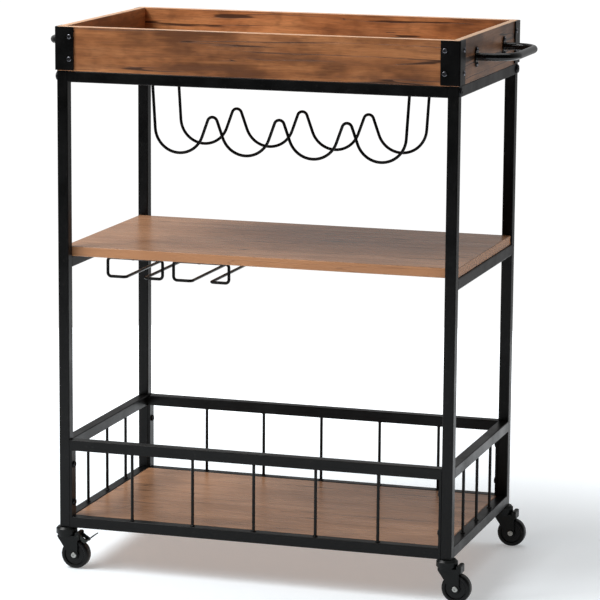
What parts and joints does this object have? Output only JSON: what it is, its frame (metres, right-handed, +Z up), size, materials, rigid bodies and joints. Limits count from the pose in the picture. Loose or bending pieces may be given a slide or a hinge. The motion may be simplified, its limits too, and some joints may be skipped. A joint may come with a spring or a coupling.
{
  "type": "bar cart",
  "caption": "Wheeled bar cart: black square-tube frame, wooden tray with bar handles, wooden shelf, lower board with a spindle gallery, wire bottle and stemware racks.",
  "frame": {"origin": "on the floor, under the middle of the cart's bounding box", "axes": "+Z up, +X along the length from the left handle to the right handle, +Y from front to back"},
  "size_m": [0.8, 0.4102, 0.899],
  "materials": {
    "powder_coat": "black satin powder coat",
    "gloss_black_coat": "glossy black coat",
    "rustic_wood": "rustic brown oak look with dark cracks, satin",
    "black_screw": "black oxide, satin",
    "caster_steel": "black plated steel, satin",
    "wheel_plastic": "black moulded, half gloss",
    "axle_zinc": "zinc plated",
    "brake_steel": "dark grey steel with worn edges"
  },
  "bodies": {
    "cart": {"post_front_left": "powder_coat", "post_front_right": "powder_coat", "post_back_left": "powder_coat", "post_back_right": "powder_coat", "top_rail_front": "powder_coat", "gallery_rail_front": "powder_coat", "base_rail_front": "powder_coat", "gallery_spindles_front": "powder_coat", "tray_wall_front": "rustic_wood", "top_rail_back": "powder_coat", "gallery_rail_back": "powder_coat", "base_rail_back": "powder_coat", "gallery_spindles_back": "powder_coat", "tray_wall_back": "rustic_wood", "top_rail_left": "powder_coat", "gallery_rail_left": "powder_coat", "base_rail_left": "powder_coat", "gallery_spindles_left": "powder_coat", "tray_wall_left": "rustic_wood", "top_rail_right": "powder_coat", "gallery_rail_right": "powder_coat", "base_rail_right": "powder_coat", "gallery_spindles_right": "powder_coat", "tray_wall_right": "rustic_wood", "shelf_rail_left": "powder_coat", "handle_left": "gloss_black_coat", "shelf_rail_right": "powder_coat", "handle_right": "gloss_black_coat", "gallery_end_plates": "powder_coat", "gallery_plate_screws": "black_screw", "frame_bolts": "black_screw", "tray_base": "rustic_wood", "tray_corner_brackets": "powder_coat", "bracket_screws": "black_screw", "handle_screws": "black_screw", "middle_shelf": "rustic_wood", "middle_shelf_screws": "black_screw", "stemware_channel_outer": "powder_coat", "stemware_channel_inner": "powder_coat", "lower_board": "rustic_wood", "lower_board_tabs": "powder_coat", "underside_screws": "black_screw", "bottle_wire_front": "powder_coat", "bottle_wire_back": "powder_coat", "bottle_wire_plates": "powder_coat", "caster_stems": "caster_steel"},
    "fork_front_left": {"caster_fork_front_left": "caster_steel", "caster_axle_front_left": "axle_zinc"},
    "wheel_front_left": {"caster_wheel_front_left": "wheel_plastic"},
    "fork_front_right": {"caster_fork_front_right": "caster_steel", "caster_axle_front_right": "axle_zinc"},
    "wheel_front_right": {"caster_wheel_front_right": "wheel_plastic"},
    "fork_back_left": {"caster_fork_back_left": "caster_steel", "caster_axle_back_left": "axle_zinc"},
    "wheel_back_left": {"caster_wheel_back_left": "wheel_plastic"},
    "fork_back_right": {"caster_fork_back_right": "caster_steel", "caster_axle_back_right": "axle_zinc"},
    "wheel_back_right": {"caster_wheel_back_right": "wheel_plastic"},
    "brake_front_left": {"caster_brake_front_left": "brake_steel"},
    "brake_back_left": {"caster_brake_back_left": "brake_steel"}
  },
  "joints": [
    {"name": "swivel_front_left", "type": "hinge", "parent": "cart", "child": "fork_front_left", "pos_m": [-0.3255, -0.1875, 0.06], "axis": [0, 0, 1], "continuous": true},
    {"name": "roll_front_left", "type": "hinge", "parent": "fork_front_left", "child": "wheel_front_left", "pos_m": [-0.309, -0.1875, 0.024], "axis": [0, 1, 0], "continuous": true},
    {"name": "swivel_front_right", "type": "hinge", "parent": "cart", "child": "fork_front_right", "pos_m": [0.3255, -0.1875, 0.06], "axis": [0, 0, 1], "continuous": true},
    {"name": "roll_front_right", "type": "hinge", "parent": "fork_front_right", "child": "wheel_front_right", "pos_m": [0.342, -0.1875, 0.024], "axis": [0, 1, 0], "continuous": true},
    {"name": "swivel_back_left", "type": "hinge", "parent": "cart", "child": "fork_back_left", "pos_m": [-0.3255, 0.1875, 0.06], "axis": [0, 0, 1], "continuous": true},
    {"name": "roll_back_left", "type": "hinge", "parent": "fork_back_left", "child": "wheel_back_left", "pos_m": [-0.309, 0.1875, 0.024], "axis": [0, 1, 0], "continuous": true},
    {"name": "swivel_back_right", "type": "hinge", "parent": "cart", "child": "fork_back_right", "pos_m": [0.3255, 0.1875, 0.06], "axis": [0, 0, 1], "continuous": true},
    {"name": "roll_back_right", "type": "hinge", "parent": "fork_back_right", "child": "wheel_back_right", "pos_m": [0.342, 0.1875, 0.024], "axis": [0, 1, 0], "continuous": true},
    {"name": "pedal_front_left", "type": "hinge", "parent": "fork_front_left", "child": "brake_front_left", "pos_m": [-0.3025, -0.1875, 0.0566], "axis": [0, 1, 0], "range_deg": [0, 8]},
    {"name": "pedal_back_left", "type": "hinge", "parent": "fork_back_left", "child": "brake_back_left", "pos_m": [-0.3025, 0.1875, 0.0566], "axis": [0, 1, 0], "range_deg": [0, 8]}
  ]
}
